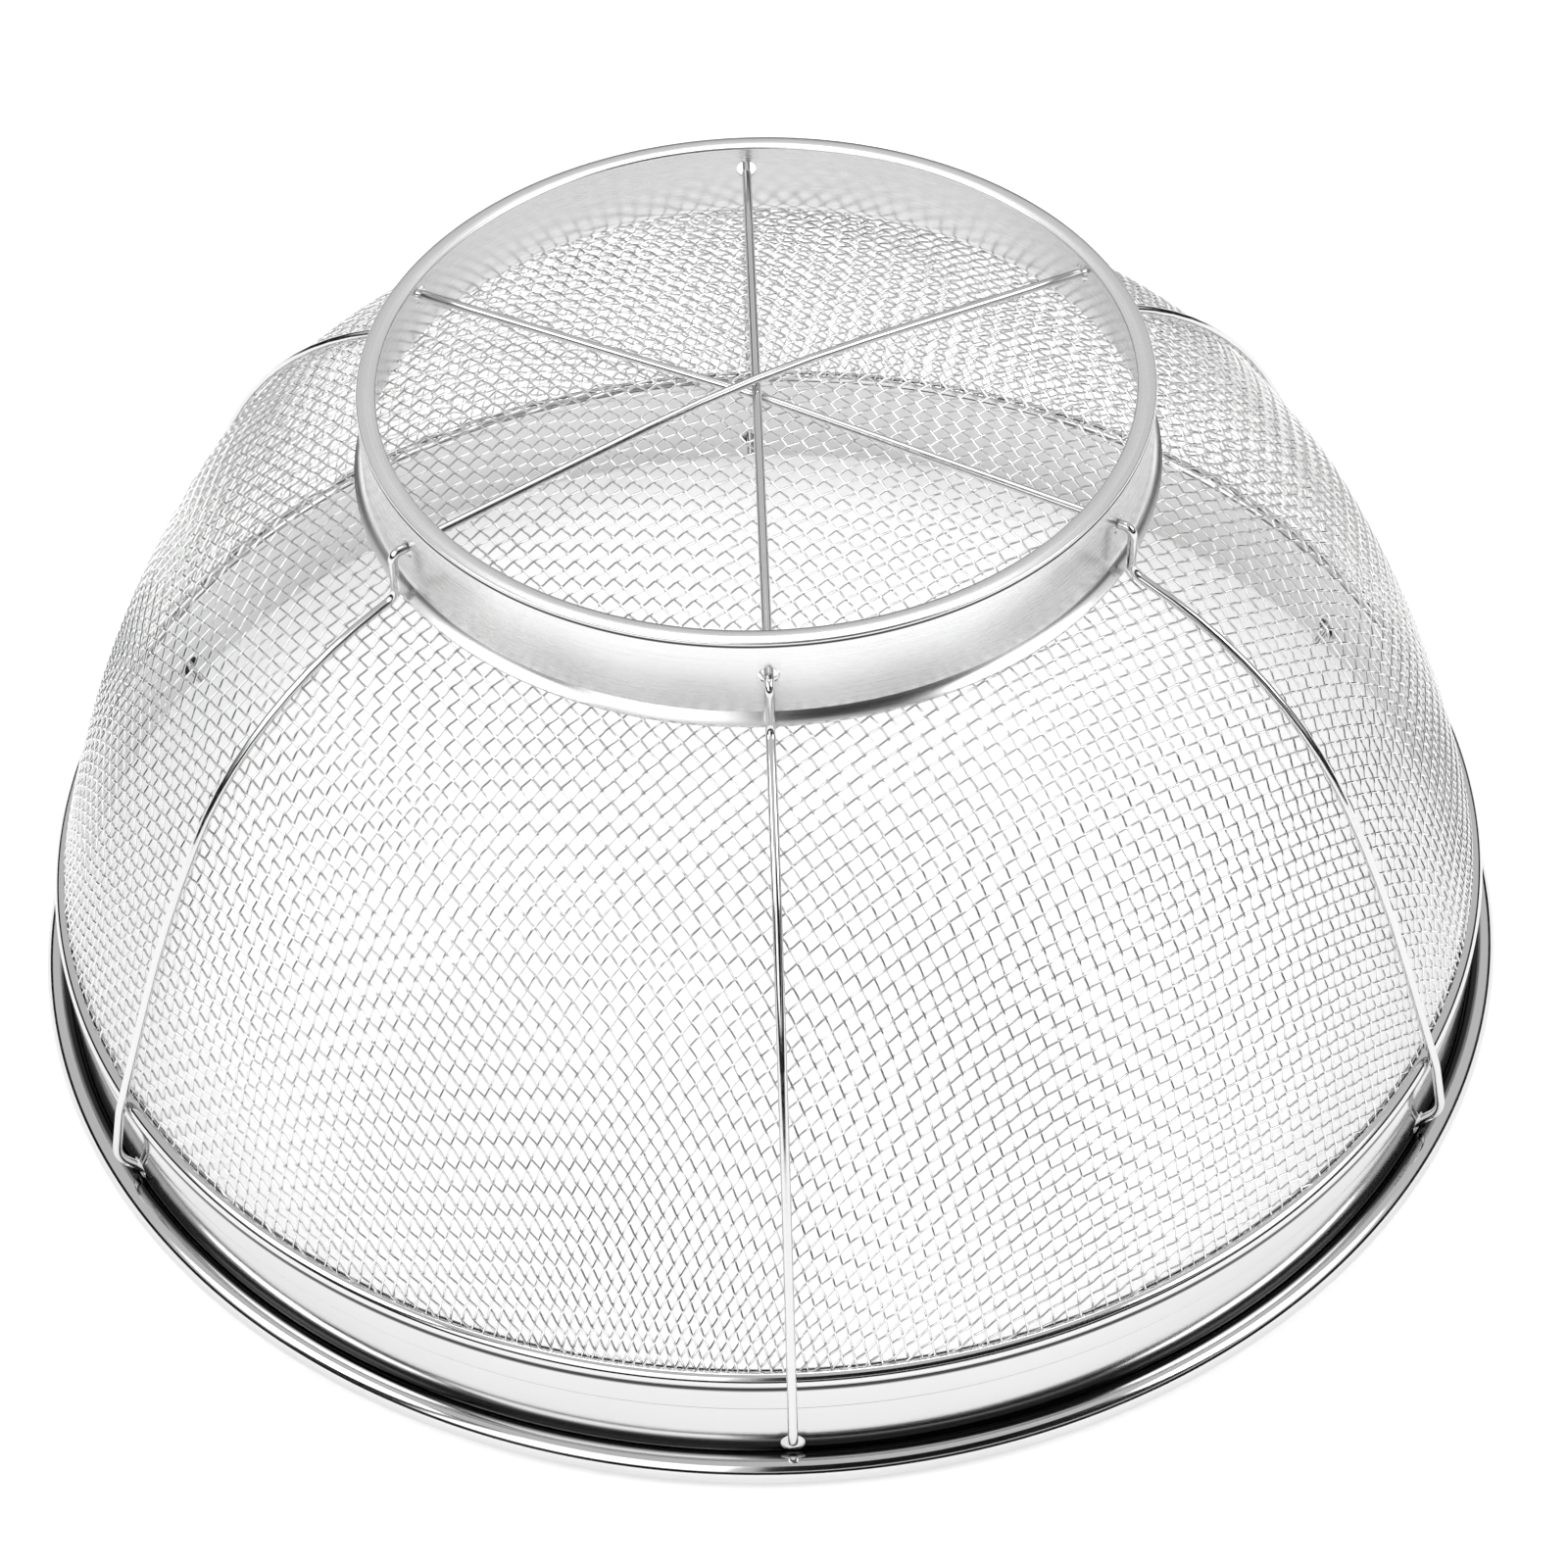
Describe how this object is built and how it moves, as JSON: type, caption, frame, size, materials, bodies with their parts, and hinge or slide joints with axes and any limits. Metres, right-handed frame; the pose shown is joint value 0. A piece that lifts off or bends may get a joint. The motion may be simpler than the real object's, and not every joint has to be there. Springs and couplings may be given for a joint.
{
  "type": "wire mesh colander",
  "caption": "Domed wire-mesh colander with a rolled sheet-metal rim, a hemmed foot ring and rib wires laid over the mesh, stored upside down on its rim.",
  "frame": {"origin": "on the bowl's axis, in the plane that the rolled rim rests on", "axes": "+Z along the bowl's axis, from the rim's open mouth up to the foot ring; +X runs halfway between two ribs; one rib wire lies in the YZ plane"},
  "size_m": [0.28, 0.28, 0.1333],
  "materials": {
    "steel_mesh": "bright drawn stainless wire, woven",
    "steel_rim": "polished stainless sheet",
    "steel_foot": "polished stainless sheet with a satin band",
    "steel_wire": "bright drawn stainless wire"
  },
  "bodies": {
    "root": {"mesh_bowl": "steel_mesh", "mesh_binding_ring": "steel_rim", "rim_band": "steel_rim", "rim_core_wire": "steel_wire", "foot_ring": "steel_foot", "rib_wire_right": "steel_wire", "rib_wire_front": "steel_wire", "rib_wire_left": "steel_wire"}
  },
  "joints": []
}
